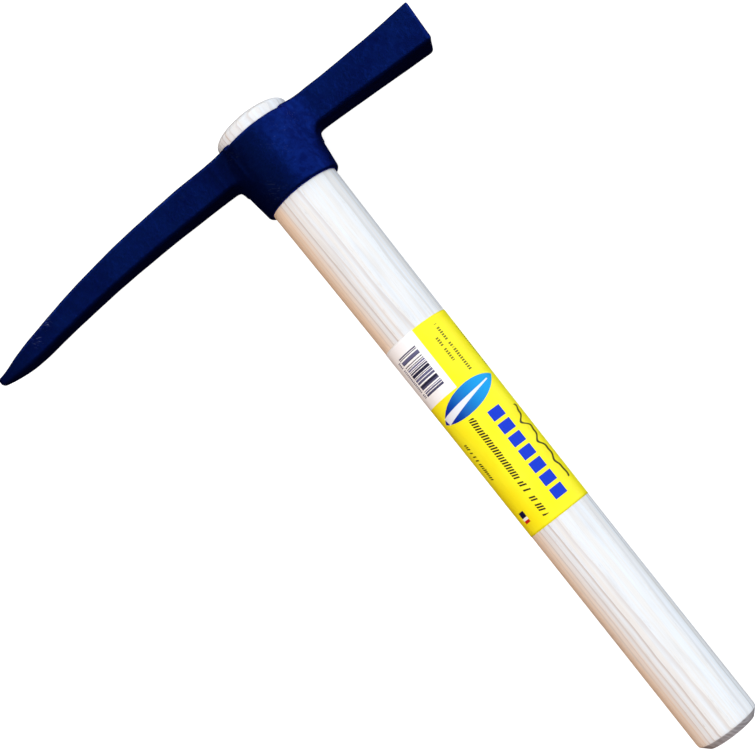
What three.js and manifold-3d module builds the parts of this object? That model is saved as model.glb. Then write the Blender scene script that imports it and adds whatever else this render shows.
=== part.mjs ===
// A mason's pick hammer, lying on its side.
//
// A forged steel head, with a long pick on one side and a square poll on the other, sits on
// a straight ash handle. The handle is dropped through the head from above: its top swells
// like a cone inside the eye and ends in a dome that stands proud, so no wedge is needed.
// A printed label is wrapped once round the grip.
//
// Millimetres. The tool frame is centred on the handle: +Y runs up the handle from the butt,
// +X points to the striking face, -X to the pick's point, and Z is across the head.
import * as THREE from 'three';
import { mergeVertices } from 'three/addons/utils/BufferGeometryUtils.js';
import Module from 'manifold-3d';

// Handle, with heights along its axis from the butt
const OVERALL_LENGTH = 350;
const BUTT_RADIUS = 15.6; // the grip just above the butt's chamfer
const NECK_RADIUS = 17.6; // the grip where it enters the head
const SWELL_POWER = 2.5; // over 1, the grip thickens mostly near the head
const BUTT_CHAMFER = 3.6;
const BUTT_CHAMFER_FLAT = 0.75; // the share of the chamfer that is flat
const BUTT_SHOULDER = 2.5; // length over which the rest of it eases into the grip
const DOME_HEIGHT = 5.2; // from the dome's crown down to its widest place
const DOME_RADIUS = 19.2;
const DOME_FULLNESS = 2.4; // over 2, the dome's shoulder is fuller than an ellipse's

// Head, with heights along the handle's axis from the butt
const COLLAR_BOTTOM = 305;
const COLLAR_SHOULDER = 322; // the collar widens to about here, then goes straight up
const BARREL_TOP = 341;
const ARM_TOP = 342;
const COLLAR_BOTTOM_RADIUS = 19.8;
const BARREL_RADIUS = 22;
const BARREL_ROUNDING = 2;
const COLLAR_LIP = 1.4; // rounding of the collar's lower edge
const SHOULDER_BELOW = 4; // the shoulder is a curve from a point this far below it
const SHOULDER_INSET = 0.6; // and this far inside the barrel
const SHOULDER_ABOVE = 2; // to one this far above it on the barrel

// Pick, with reaches measured outwards from the handle's axis
const PICK_REACH = 163.2;
const PICK_UNDERSIDE = 326;
const PICK_TOP_BEND_START = 37;
const PICK_TOP_BEND_RADIUS = 470;
const PICK_UNDERSIDE_BEND_START = 52;
const PICK_UNDERSIDE_BEND_RADIUS = 700;
const PICK_ROOT_HALF_DEPTH = 10.6;
const PICK_HALF_DEPTH = 7.4; // where the point begins
const PICK_POINT_LENGTH = 28;
const PICK_POINT_TOP_FULLNESS = 5.5; // over 1, a side of the point bulges like an ogive's
const PICK_POINT_UNDERSIDE_FULLNESS = 1.3;
const PICK_POINT_CHEEK_FULLNESS = 2.4;
const PICK_TIP_HEIGHT = 323.8;
const PICK_TIP_RADIUS = 2.1;

// Poll
const POLL_REACH = 89.4;
const POLL_ROOT_UNDERSIDE = 325;
const POLL_END_UNDERSIDE = 322.3;
const POLL_END_TOP = 343.7;
const POLL_ROOT_HALF_DEPTH = 10;
const POLL_END_HALF_DEPTH = 12;
const POLL_FLARE_START = 35;
const FACE_CHAMFER = 1; // its length along the poll
const FACE_CHAMFER_INSET = 0.7;

// Where both arms leave the barrel
const ROOT_REACH = 27; // outer end of the fillets
const ROOT_FILLET_RADIUS = 5; // seen from the front
const ROOT_CHEEK_RADIUS = 16; // seen from above
const CORE_REACH = 16; // inside this the arms run through the barrel
const ARM_CORNER_RADIUS = 2.4;
const CORNER_SHARE = 0.35; // the most of a side's length that one corner takes

// Label
const LABEL_BOTTOM = 119.8;
const LABEL_TOP = 223.7;
const LABEL_THICKNESS = 0.2;

const GAP = 0.3; // between pieces that touch on the real tool
const EYE_OVERSHOOT = 2; // how far the eye's cutting cone runs out of the head
const WELD_DISTANCE = 1e-4; // points closer than this are one point

// How finely the curves are divided
const ROUND_SEGMENTS = 48;
const CORNER_SEGMENTS = 4;
const BEND_STEPS = 5;
const GRIP_STEPS = 16;
const DOME_STEPS = 10;
const ROOT_STEPS = 8;
const PICK_STEPS = 10;
const POINT_STEPS = 10;
const POLL_STEPS = 6;
const LABEL_STEPS = 6;

const wasm = await Module();
wasm.setup();

// A closed three.js geometry as a solid that can be joined and cut.
function toSolid(geometry) {
  const bare = geometry.clone();
  bare.deleteAttribute('normal');
  bare.deleteAttribute('uv');
  const merged = mergeVertices(bare, WELD_DISTANCE);
  return new wasm.Manifold(new wasm.Mesh({
    numProp: 3,
    vertProperties: new Float32Array(merged.attributes.position.array),
    triVerts: new Uint32Array(merged.index.array),
  }));
}

function fromSolid(solid) {
  const mesh = solid.getMesh();
  const geometry = new THREE.BufferGeometry();
  geometry.setAttribute('position', new THREE.BufferAttribute(mesh.vertProperties, 3));
  geometry.setIndex(new THREE.BufferAttribute(mesh.triVerts, 1));
  const faceted = geometry.toNonIndexed();
  faceted.computeVertexNormals();
  return faceted;
}

// Evenly spaced values from one end to the other, both included.
function spaced(from, to, steps) {
  return Array.from({ length: steps + 1 }, (_, i) => THREE.MathUtils.lerp(from, to, i / steps));
}

// How far a fillet of this radius has risen at a distance in from where it starts.
function filletRise(radius, distance) {
  const inside = THREE.MathUtils.clamp(distance, 0, radius);
  return radius - Math.sqrt(radius * radius - inside * inside);
}

// How far an arc of this radius has left its tangent at a distance along it.
function arcDrop(radius, distance) {
  const along = Math.max(distance, 0);
  return radius - Math.sqrt(radius * radius - along * along);
}

// ---------------------------------------------------------------- handle

function gripRadius(height) {
  const share = THREE.MathUtils.clamp(height / COLLAR_BOTTOM, 0, 1);
  return BUTT_RADIUS + (NECK_RADIUS - BUTT_RADIUS) * share ** SWELL_POWER;
}

// The radius anywhere from the butt's chamfer to the foot of the dome.
function handleRadius(height) {
  if (height <= COLLAR_BOTTOM) return gripRadius(height);
  const domeFoot = OVERALL_LENGTH - DOME_HEIGHT;
  const share = (height - COLLAR_BOTTOM) / (domeFoot - COLLAR_BOTTOM);
  return THREE.MathUtils.lerp(NECK_RADIUS, DOME_RADIUS, Math.min(share, 1));
}

function makeHandle() {
  const butt = new THREE.Path();
  const shoulderHeight = BUTT_CHAMFER + BUTT_SHOULDER;
  butt.moveTo(0, 0);
  butt.lineTo(BUTT_RADIUS - BUTT_CHAMFER, 0);
  const flat = BUTT_CHAMFER * BUTT_CHAMFER_FLAT;
  butt.lineTo(BUTT_RADIUS - BUTT_CHAMFER + flat, flat);
  butt.quadraticCurveTo(BUTT_RADIUS, BUTT_CHAMFER, gripRadius(shoulderHeight), shoulderHeight);

  const profile = butt.getPoints(BEND_STEPS);
  for (const height of spaced(shoulderHeight, COLLAR_BOTTOM, GRIP_STEPS).slice(1)) {
    profile.push(new THREE.Vector2(handleRadius(height), height));
  }
  const domeFoot = OVERALL_LENGTH - DOME_HEIGHT;
  profile.push(new THREE.Vector2(DOME_RADIUS, domeFoot));
  for (let i = 1; i <= DOME_STEPS; i++) {
    const turn = (i / DOME_STEPS) * (Math.PI / 2);
    const out = i === DOME_STEPS ? 0 : Math.cos(turn) ** (2 / DOME_FULLNESS);
    const up = Math.sin(turn) ** (2 / DOME_FULLNESS);
    profile.push(new THREE.Vector2(DOME_RADIUS * out, domeFoot + DOME_HEIGHT * up));
  }
  return new THREE.LatheGeometry(profile, ROUND_SEGMENTS);
}

// ---------------------------------------------------------------- head

// The round body of the head: a collar that widens upwards, then a straight barrel.
function makeBarrel() {
  const profile = new THREE.Path();
  profile.moveTo(0, COLLAR_BOTTOM);
  profile.lineTo(COLLAR_BOTTOM_RADIUS - COLLAR_LIP, COLLAR_BOTTOM);
  profile.quadraticCurveTo(
    COLLAR_BOTTOM_RADIUS, COLLAR_BOTTOM, COLLAR_BOTTOM_RADIUS, COLLAR_BOTTOM + COLLAR_LIP,
  );
  profile.quadraticCurveTo(
    BARREL_RADIUS - SHOULDER_INSET, COLLAR_SHOULDER - SHOULDER_BELOW,
    BARREL_RADIUS, COLLAR_SHOULDER + SHOULDER_ABOVE,
  );
  profile.lineTo(BARREL_RADIUS, BARREL_TOP - BARREL_ROUNDING);
  profile.absarc(
    BARREL_RADIUS - BARREL_ROUNDING, BARREL_TOP - BARREL_ROUNDING, BARREL_ROUNDING, 0, Math.PI / 2,
  );
  profile.lineTo(0, BARREL_TOP);
  return new THREE.LatheGeometry(profile.getPoints(BEND_STEPS), ROUND_SEGMENTS);
}

// What the eye takes out of the head: the handle's own cone, a gap larger all round.
function makeEye() {
  const bottom = COLLAR_BOTTOM - EYE_OVERSHOOT;
  const top = ARM_TOP + EYE_OVERSHOOT;
  const profile = [
    new THREE.Vector2(0, bottom),
    new THREE.Vector2(handleRadius(bottom) + GAP, bottom),
    new THREE.Vector2(handleRadius(COLLAR_BOTTOM) + GAP, COLLAR_BOTTOM),
    new THREE.Vector2(handleRadius(top) + GAP, top),
    new THREE.Vector2(0, top),
  ];
  return new THREE.LatheGeometry(profile, ROUND_SEGMENTS);
}

// One cross-section of an arm: a rectangle with rounded corners. x is along the head's
// length, and the outline is drawn in height and depth.
function armSection(x, top, bottom, halfDepth) {
  const shortest = Math.min(top - bottom, halfDepth);
  const radius = Math.min(ARM_CORNER_RADIUS, shortest * CORNER_SHARE);
  const corners = [
    [halfDepth - radius, top - radius, 0],
    [radius - halfDepth, top - radius, 1],
    [radius - halfDepth, bottom + radius, 2],
    [halfDepth - radius, bottom + radius, 3],
  ];
  const points = [];
  for (const [depth, height, quarter] of corners) {
    for (let i = 0; i <= CORNER_SEGMENTS; i++) {
      const turn = (quarter + i / CORNER_SEGMENTS) * (Math.PI / 2);
      points.push(new THREE.Vector3(
        x, height + radius * Math.sin(turn), depth + radius * Math.cos(turn),
      ));
    }
  }
  return points;
}

// Joins sections into one closed skin. They run towards +X, and both ends are capped.
function loft(sections) {
  const around = sections[0].length;
  const positions = sections.flat().flatMap((point) => point.toArray());
  const index = [];
  for (let s = 0; s < sections.length - 1; s++) {
    for (let i = 0; i < around; i++) {
      const a = s * around + i;
      const b = s * around + ((i + 1) % around);
      index.push(a, a + around, b, b, a + around, b + around);
    }
  }
  const last = (sections.length - 1) * around;
  for (let i = 1; i < around - 1; i++) {
    index.push(0, i, i + 1);
    index.push(last, last + i + 1, last + i);
  }
  const geometry = new THREE.BufferGeometry();
  geometry.setAttribute('position', new THREE.Float32BufferAttribute(positions, 3));
  geometry.setIndex(index);
  return geometry;
}

// The fillets at the root of both arms: how much lower and how much deeper an arm is.
function rootDrop(reach) {
  return filletRise(ROOT_FILLET_RADIUS, ROOT_REACH - reach);
}

function rootSwell(reach) {
  return filletRise(ROOT_CHEEK_RADIUS, ROOT_REACH - Math.max(reach, CORE_REACH));
}

// One side of the pick where it narrows to its point: from its full size to its tip.
function narrowed(full, tip, reach, fullness) {
  const along = (reach - (PICK_REACH - PICK_POINT_LENGTH)) / PICK_POINT_LENGTH;
  return THREE.MathUtils.lerp(full, tip, Math.max(along, 0) ** fullness);
}

function pickSection(reach) {
  const top = ARM_TOP - arcDrop(PICK_TOP_BEND_RADIUS, reach - PICK_TOP_BEND_START);
  const bottom = PICK_UNDERSIDE - rootDrop(reach)
    - arcDrop(PICK_UNDERSIDE_BEND_RADIUS, reach - PICK_UNDERSIDE_BEND_START);
  const taperEnd = PICK_REACH - PICK_POINT_LENGTH;
  const taper = THREE.MathUtils.clamp((reach - ROOT_REACH) / (taperEnd - ROOT_REACH), 0, 1);
  const halfDepth = rootSwell(reach)
    + THREE.MathUtils.lerp(PICK_ROOT_HALF_DEPTH, PICK_HALF_DEPTH, Math.sqrt(taper));
  return armSection(
    -reach,
    narrowed(top, PICK_TIP_HEIGHT + PICK_TIP_RADIUS, reach, PICK_POINT_TOP_FULLNESS),
    narrowed(bottom, PICK_TIP_HEIGHT - PICK_TIP_RADIUS, reach, PICK_POINT_UNDERSIDE_FULLNESS),
    narrowed(halfDepth, PICK_TIP_RADIUS, reach, PICK_POINT_CHEEK_FULLNESS),
  );
}

function pollSection(reach, inset = 0) {
  const along = (reach - ROOT_REACH) / (POLL_REACH - ROOT_REACH);
  const outer = Math.max(along, 0);
  const flare = Math.max(reach - POLL_FLARE_START, 0) / (POLL_REACH - POLL_FLARE_START);
  const top = THREE.MathUtils.lerp(ARM_TOP, POLL_END_TOP, flare ** 2);
  const bottom = THREE.MathUtils.lerp(POLL_ROOT_UNDERSIDE, POLL_END_UNDERSIDE, outer)
    - rootDrop(reach);
  const halfDepth = rootSwell(reach)
    + THREE.MathUtils.lerp(POLL_ROOT_HALF_DEPTH, POLL_END_HALF_DEPTH, outer);
  return armSection(reach, top - inset, bottom + inset, halfDepth - inset);
}

function makePick() {
  const pointStart = PICK_REACH - PICK_POINT_LENGTH;
  const reaches = [
    0,
    ...spaced(CORE_REACH, ROOT_REACH, ROOT_STEPS),
    ...spaced(PICK_TOP_BEND_START, pointStart, PICK_STEPS),
    ...spaced(pointStart, PICK_REACH, POINT_STEPS).slice(1),
  ];
  return loft(reaches.reverse().map((reach) => pickSection(reach)));
}

function makePoll() {
  const faceStart = POLL_REACH - FACE_CHAMFER;
  const reaches = [
    0,
    ...spaced(CORE_REACH, ROOT_REACH, ROOT_STEPS),
    ...spaced(POLL_FLARE_START, faceStart, POLL_STEPS),
  ];
  const sections = reaches.map((reach) => pollSection(reach));
  sections.push(pollSection(POLL_REACH, FACE_CHAMFER_INSET));
  return loft(sections);
}

function makeHead() {
  const solid = toSolid(makeBarrel())
    .add(toSolid(makePick()))
    .add(toSolid(makePoll()))
    .subtract(toSolid(makeEye()));
  return fromSolid(solid);
}

// ---------------------------------------------------------------- label

function makeLabel() {
  const heights = spaced(LABEL_BOTTOM, LABEL_TOP, LABEL_STEPS);
  const inner = heights.map((height) => new THREE.Vector2(handleRadius(height) + GAP, height));
  const outer = inner.map((point) => new THREE.Vector2(point.x + LABEL_THICKNESS, point.y));
  const profile = [...outer, ...inner.reverse(), outer[0].clone()];
  return new THREE.LatheGeometry(profile, ROUND_SEGMENTS);
}

// ---------------------------------------------------------------- assembly

function piece(name, geometry, color, roughness, metalness) {
  const material = new THREE.MeshStandardMaterial({ color, roughness, metalness });
  const mesh = new THREE.Mesh(geometry, material);
  mesh.name = name;
  return mesh;
}

// The origin is under the middle of the hammer, on the surface it lies on.
const hammer = new THREE.Group();
hammer.position.set((PICK_REACH - POLL_REACH) / 2, -OVERALL_LENGTH / 2, BARREL_RADIUS);
hammer.add(
  piece('head', makeHead(), 0x03124a, 0.42, 0.1),
  piece('handle', makeHandle(), 0xe8dccb, 0.65, 0),
  piece('label', makeLabel(), 0xfff02e, 0.35, 0),
);

export default hammer;
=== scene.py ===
"""A mason's pick hammer lying on its side on a pale floor.

The head is one enamelled forging, modelled as a distance field and meshed. The ash handle is
turned, and the printed label is one film wrapped round it and lapped on itself. Shapes are in
millimetres in the tool frame: +Y runs up the handle from the butt, +X points to the striking
face and Z is across the head.
"""

import math  # noqa: E402

import bpy  # noqa: E402
import numpy as np  # noqa: E402
from mathutils import Matrix, Vector  # noqa: E402


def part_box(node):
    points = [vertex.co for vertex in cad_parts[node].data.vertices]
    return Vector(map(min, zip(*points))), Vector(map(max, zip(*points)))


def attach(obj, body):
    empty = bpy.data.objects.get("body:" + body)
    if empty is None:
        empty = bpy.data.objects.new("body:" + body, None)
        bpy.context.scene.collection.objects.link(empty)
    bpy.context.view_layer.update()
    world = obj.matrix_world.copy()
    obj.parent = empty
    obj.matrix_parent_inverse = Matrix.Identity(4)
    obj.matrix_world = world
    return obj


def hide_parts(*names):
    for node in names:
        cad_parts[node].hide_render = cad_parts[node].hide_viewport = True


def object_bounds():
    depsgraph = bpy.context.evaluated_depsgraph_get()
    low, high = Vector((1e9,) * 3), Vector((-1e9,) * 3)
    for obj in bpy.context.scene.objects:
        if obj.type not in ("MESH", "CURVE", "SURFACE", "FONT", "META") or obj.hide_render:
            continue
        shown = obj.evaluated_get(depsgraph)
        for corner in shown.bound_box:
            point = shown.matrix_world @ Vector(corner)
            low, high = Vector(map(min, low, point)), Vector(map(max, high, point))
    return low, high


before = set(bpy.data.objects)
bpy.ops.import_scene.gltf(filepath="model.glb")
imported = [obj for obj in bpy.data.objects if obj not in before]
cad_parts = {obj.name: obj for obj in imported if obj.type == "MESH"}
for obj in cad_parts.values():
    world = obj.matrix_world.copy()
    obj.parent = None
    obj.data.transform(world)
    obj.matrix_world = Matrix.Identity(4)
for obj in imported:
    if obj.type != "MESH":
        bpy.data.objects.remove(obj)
cad_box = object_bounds()

MM = 0.001

# Handle
OVERALL_LENGTH = 350
BUTT_RADIUS = 15.6
NECK_RADIUS = 17.6
SWELL_POWER = 2.5
BUTT_CHAMFER = 3.6
BUTT_CHAMFER_TILT = 0.01  # the chamfer is cut a little askew, deeper on the pick's side
BUTT_FLAT_RINGS = (0.02, 0.35, 0.7, 0.94, 0.985)  # shares of the sawn flat's radius
CHAMFER_RINGS = (  # how far in from the grip and up from the butt, as shares of the chamfer
    (0.985, 0.003),
    (0.95, 0.04),
    (0.75, 0.23),
    (0.5, 0.47),
    (0.25, 0.71),
    (0.12, 0.84),
    (0.075, 0.9),
    (0.045, 0.98),
    (0.02, 1.15),
    (0, 1.4),
)
GRIP_START = 7
GRIP_RINGS = 130
DOME_HEIGHT = 5.2
DOME_RADIUS = 19.2
DOME_FULLNESS = 2.4
DOME_RINGS = 30
DOME_OVAL = 0.10
DOME_LOBES = 0.06
CROWN_DIP = 0.02
TURNED_OVAL = 0.05
TURNED_OVAL_TWIST = 90  # height over which it turns by one radian
TURNED_LOBES = 0.03
TURNED_LOBES_TWIST = 37

# Head, with heights from the butt
COLLAR_BOTTOM = 305
COLLAR_WIDENS_TO = 324
COLLAR_FLARE = 2.1
COLLAR_FLARE_POWER = 1.075
COLLAR_FLARE_END = 1.2  # the flare stops a little below the collar's end
COLLAR_LIP = 1.8
BARREL_TOP = 341
BARREL_RADIUS = 21.95
BARREL_ROUNDING = 2
ARM_TOP = 342
EYE_CLEARANCE = 0.12
EYE_EASING = 0.5

# Pick, with reaches from the handle's axis
PICK_REACH = 163.2
PICK_UNDERSIDE = 326
PICK_TOP_BEND_START = 37
PICK_TOP_BEND_RADIUS = 470
PICK_UNDERSIDE_BEND_START = 52
PICK_UNDERSIDE_BEND_RADIUS = 700
PICK_ROOT_HALF_DEPTH = 10.6
PICK_HALF_DEPTH = 7.4
PICK_POINT_LENGTH = 28
PICK_POINT_TOP_FULLNESS = 5.5
PICK_POINT_UNDERSIDE_FULLNESS = 1.3
PICK_POINT_CHEEK_FULLNESS = 2.4
PICK_TIP_HEIGHT = 323.8
PICK_TIP_RADIUS = 2.1
PICK_TIP_EASING = 0.8  # as a share of the tip's radius

# Poll
POLL_REACH = 89.4
POLL_ROOT_UNDERSIDE = 325
POLL_END_UNDERSIDE = 322.3
POLL_END_TOP = 343.7
POLL_ROOT_HALF_DEPTH = 10
POLL_END_HALF_DEPTH = 12
POLL_FLARE_START = 35
FACE_SLANT = 0.05  # how far the striking face leans back towards the handle, per mm down
FACE_TOP_ROUNDING = 0.8
FACE_BOTTOM_ROUNDING = 2.5

# Where the arms leave the barrel
ROOT_REACH = 27
ROOT_FILLET_RADIUS = 5
ROOT_CHEEK_RADIUS = 16
ROOT_BLEND = 2.2  # joins arms and barrel, and fades to almost nothing at the top
ROOT_BLEND_TOP = BARREL_TOP - 1
ROOT_BLEND_FADE = 8
ROOT_BLEND_LEAST = 0.05
CORE_REACH = 16
ARM_CORNER_RADIUS = 2.2
ARM_CORNER_SHARE = 0.7  # the most of a thin arm's half side that a corner takes

# The forging's unevenness
FORGED_WAVES = ((0.10, 34, 9, 5), (0.045, 11, 10, 8))  # height, wavelength, count, seed
WAVELENGTH_SPREAD = (0.7, 1.4)
SKIN_INSET = 0.09  # keeps the uneven skin inside the CAD solid

# The head's mesh
MESH_STEP = 0.6
MESH_MARGIN = 1.5
PULL_LIMIT = 0.3
LEAST_STEEPNESS = 0.05
WORN_CURVATURE = (0.05, 0.22)  # an edge this sharp, per mm, begins to wear and is fully worn

# Label
LABEL_BOTTOM = 119.8
LABEL_TOP = 223.7
LABEL_THICKNESS = 0.12
LABEL_LIFT = 0.03
LABEL_LAP = math.radians(10)  # half the angle over which the film lies on itself
PRINT_LAYER = "print"


# ---------------------------------------------------------------- helpers


def tool_origin():
    """The middle of the handle's butt in the row frame, in metres."""
    low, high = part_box("handle")
    return Vector(((low.x + high.x) / 2, low.y, (low.z + high.z) / 2))


def lerp(a, b, share):
    return a + (b - a) * share


def smoothstep(value, low, high):
    share = np.clip((value - low) / (high - low), 0, 1)
    return share * share * (3 - 2 * share)


def arc_drop(radius, distance):
    """How far an arc has left its tangent at a distance along it."""
    along = np.clip(distance, 0, radius)
    return radius - np.sqrt(radius * radius - along * along)


def make_piece(name, points, faces, material, node):
    """A smooth mesh, from points in tool-frame millimetres, that stands for one CAD node."""
    mesh = bpy.data.meshes.new(name)
    placed = np.asarray(points, float) * MM + np.array(tool_origin())
    mesh.from_pydata(placed.tolist(), [], [list(face) for face in faces])
    mesh.update()
    mesh.polygons.foreach_set("use_smooth", [True] * len(mesh.polygons))
    mesh.materials.append(material)
    piece = bpy.data.objects.new(name, mesh)
    bpy.context.scene.collection.objects.link(piece)
    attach(piece, "root")
    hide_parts(node)
    return piece


# ---------------------------------------------------------------- head shape


def round_union(a, b, radius):
    """Joins two distance fields with a fillet."""
    overlap = np.hypot(np.maximum(radius - a, 0), np.maximum(radius - b, 0))
    return np.maximum(radius, np.minimum(a, b)) - overlap


def round_cut(a, b, radius):
    """What two distance fields share, with a rounded edge."""
    excess = np.hypot(np.maximum(radius + a, 0), np.maximum(radius + b, 0))
    return np.minimum(-radius, np.maximum(a, b)) + excess


def section_field(y, z, top, bottom, half_depth):
    """Distance from a rectangle with rounded corners, in height and depth."""
    half_height = (top - bottom) / 2
    half_side = np.minimum(half_height, half_depth)
    corner = np.minimum(ARM_CORNER_RADIUS, ARM_CORNER_SHARE * half_side)
    out_y = np.abs(y - (top + bottom) / 2) - half_height + corner
    out_z = np.abs(z) - half_depth + corner
    outside = np.hypot(np.maximum(out_y, 0), np.maximum(out_z, 0))
    return outside + np.minimum(np.maximum(out_y, out_z), 0) - corner


def root_drop(x, z):
    """The fillet under an arm, which follows the barrel round."""
    return arc_drop(ROOT_FILLET_RADIUS, ROOT_REACH - np.hypot(x, z))


def root_swell(reach):
    """How much deeper an arm is near the barrel."""
    return arc_drop(ROOT_CHEEK_RADIUS, ROOT_REACH - np.maximum(reach, CORE_REACH))


def narrowed(full, tip, reach, fullness):
    """One side of the pick where it narrows to its point."""
    along = (reach - PICK_REACH + PICK_POINT_LENGTH) / PICK_POINT_LENGTH
    return lerp(full, tip, np.clip(along, 0, 1) ** fullness)


def pick_field(x, y, z):
    reach = -x
    top = ARM_TOP - arc_drop(PICK_TOP_BEND_RADIUS, reach - PICK_TOP_BEND_START)
    bottom = PICK_UNDERSIDE - root_drop(x, z)
    bottom = bottom - arc_drop(PICK_UNDERSIDE_BEND_RADIUS, reach - PICK_UNDERSIDE_BEND_START)
    taper = (reach - ROOT_REACH) / (PICK_REACH - PICK_POINT_LENGTH - ROOT_REACH)
    half_depth = lerp(PICK_ROOT_HALF_DEPTH, PICK_HALF_DEPTH, np.sqrt(np.clip(taper, 0, 1)))
    half_depth = half_depth + root_swell(reach)
    tip_top = PICK_TIP_HEIGHT + PICK_TIP_RADIUS
    tip_bottom = PICK_TIP_HEIGHT - PICK_TIP_RADIUS
    arm = section_field(
        y,
        z,
        narrowed(top, tip_top, reach, PICK_POINT_TOP_FULLNESS),
        narrowed(bottom, tip_bottom, reach, PICK_POINT_UNDERSIDE_FULLNESS),
        narrowed(half_depth, PICK_TIP_RADIUS, reach, PICK_POINT_CHEEK_FULLNESS),
    )
    return round_cut(np.maximum(arm, x), reach - PICK_REACH, PICK_TIP_EASING * PICK_TIP_RADIUS)


def poll_field(x, y, z):
    outer = np.clip((x - ROOT_REACH) / (POLL_REACH - ROOT_REACH), 0, None)
    flare = np.clip((x - POLL_FLARE_START) / (POLL_REACH - POLL_FLARE_START), 0, None)
    top = lerp(ARM_TOP, POLL_END_TOP, flare**2)
    bottom = lerp(POLL_ROOT_UNDERSIDE, POLL_END_UNDERSIDE, outer) - root_drop(x, z)
    half_depth = lerp(POLL_ROOT_HALF_DEPTH, POLL_END_HALF_DEPTH, outer) + root_swell(x)
    arm = np.maximum(section_field(y, z, top, bottom, half_depth), -x)
    height = (y - POLL_END_UNDERSIDE) / (POLL_END_TOP - POLL_END_UNDERSIDE)
    rounding = lerp(FACE_BOTTOM_ROUNDING, FACE_TOP_ROUNDING, np.clip(height, 0, 1))
    face = x - POLL_REACH + FACE_SLANT * (POLL_END_TOP - y)
    return round_cut(arm, face, rounding)


def barrel_field(x, y, z):
    below = (COLLAR_WIDENS_TO - y) / (COLLAR_WIDENS_TO - COLLAR_BOTTOM)
    below = np.clip(below, 0, COLLAR_FLARE_END)
    side = np.hypot(x, z) - (BARREL_RADIUS - COLLAR_FLARE * below**COLLAR_FLARE_POWER)
    body = round_cut(side, y - BARREL_TOP, BARREL_ROUNDING)
    return round_cut(body, COLLAR_BOTTOM - y, COLLAR_LIP)


def handle_radius(height):
    grip = np.clip(np.asarray(height, float) / COLLAR_BOTTOM, 0, 1) ** SWELL_POWER
    dome_foot = OVERALL_LENGTH - DOME_HEIGHT
    cone = np.clip((height - COLLAR_BOTTOM) / (dome_foot - COLLAR_BOTTOM), 0, 1)
    return lerp(BUTT_RADIUS, NECK_RADIUS, grip) + (DOME_RADIUS - NECK_RADIUS) * cone


def eye_field(x, y, z):
    return np.hypot(x, z) - handle_radius(y) - EYE_CLEARANCE


def waves(x, y, z, wavelength, count, seed):
    """Smooth unevenness between about -1 and 1: a sum of sine waves in random directions."""
    random = np.random.default_rng(seed)
    total = 0
    for _ in range(count):
        direction = random.normal(size=3)
        pace = 2 * math.pi / wavelength * random.uniform(*WAVELENGTH_SPREAD)
        direction *= pace / np.linalg.norm(direction)
        phase = random.uniform(0, 2 * math.pi)
        total = total + np.sin(direction[0] * x + direction[1] * y + direction[2] * z + phase)
    return total / math.sqrt(count * 2)


def head_field(x, y, z):
    """Distance from the forging's skin, negative inside, in millimetres."""
    arms = np.minimum(pick_field(x, y, z), poll_field(x, y, z))
    fade = np.clip((ROOT_BLEND_TOP - y) / ROOT_BLEND_FADE, ROOT_BLEND_LEAST, 1)
    solid = round_union(arms, barrel_field(x, y, z), ROOT_BLEND * fade)
    forged = sum(height * waves(x, y, z, *kind) for height, *kind in FORGED_WAVES)
    solid = solid + SKIN_INSET + forged
    return round_cut(solid, -eye_field(x, y, z), EYE_EASING)


def surface_nets(field, low, step):
    """Quads through the cells of a sampled field in which its sign changes."""
    cells = np.array(field.shape) - 1
    total = int(np.prod(cells))
    sums, counts = np.zeros((total, 3)), np.zeros(total)
    quads = []
    for axis in range(3):
        b, c = (axis + 1) % 3, (axis + 2) % 3
        start = np.take(field, range(cells[axis]), axis)
        end = np.take(field, range(1, cells[axis] + 1), axis)
        found = np.argwhere((start < 0) != (end < 0))
        found = found[
            (found[:, b] > 0)
            & (found[:, c] > 0)
            & (found[:, b] < cells[b])
            & (found[:, c] < cells[c])
        ]
        first, second = start[tuple(found.T)], end[tuple(found.T)]
        crossing = found.astype(float)
        crossing[:, axis] += first / (first - second)
        corners = []
        for back_b, back_c in ((1, 1), (0, 1), (0, 0), (1, 0)):
            cell = found.copy()
            cell[:, b] -= back_b
            cell[:, c] -= back_c
            index = np.ravel_multi_index(cell.T, cells)
            corners.append(index)
            counts += np.bincount(index, minlength=total)
            for k in range(3):
                sums[:, k] += np.bincount(index, crossing[:, k], total)
        quad = np.stack(corners, 1)
        quads.append(np.where((first < 0)[:, None], quad, quad[:, ::-1]))
    used = np.flatnonzero(counts)
    number = np.full(total, -1)
    number[used] = np.arange(len(used))
    points = low + step * sums[used] / counts[used, None]
    return points, number[np.concatenate(quads)]


def gradient(field, points, reach=0.02):
    x, y, z = points.T
    return np.stack(
        [
            field(x + reach, y, z) - field(x - reach, y, z),
            field(x, y + reach, z) - field(x, y - reach, z),
            field(x, y, z + reach) - field(x, y, z - reach),
        ],
        1,
    ) / (2 * reach)


def pulled_to(field, points, rounds):
    """The points moved onto the field's skin."""
    for _ in range(rounds):
        slope = gradient(field, points)
        steepness = np.maximum((slope**2).sum(1), LEAST_STEEPNESS)
        move = -(field(*points.T) / steepness)[:, None] * slope
        points = points + np.clip(move, -PULL_LIMIT, PULL_LIMIT)
    return points


def neighbour_mean(values, quads):
    """The mean of each point's neighbours along the quads' sides, for rows of three values."""
    total, count = np.zeros_like(values), np.zeros(len(values))
    for side in range(4):
        a, b = quads[:, side], quads[:, (side + 1) % 4]
        for k in range(3):
            total[:, k] += np.bincount(a, values[b, k], len(values))
            total[:, k] += np.bincount(b, values[a, k], len(values))
        count += np.bincount(a, minlength=len(values)) + np.bincount(b, minlength=len(values))
    return total / count[:, None]


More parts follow.
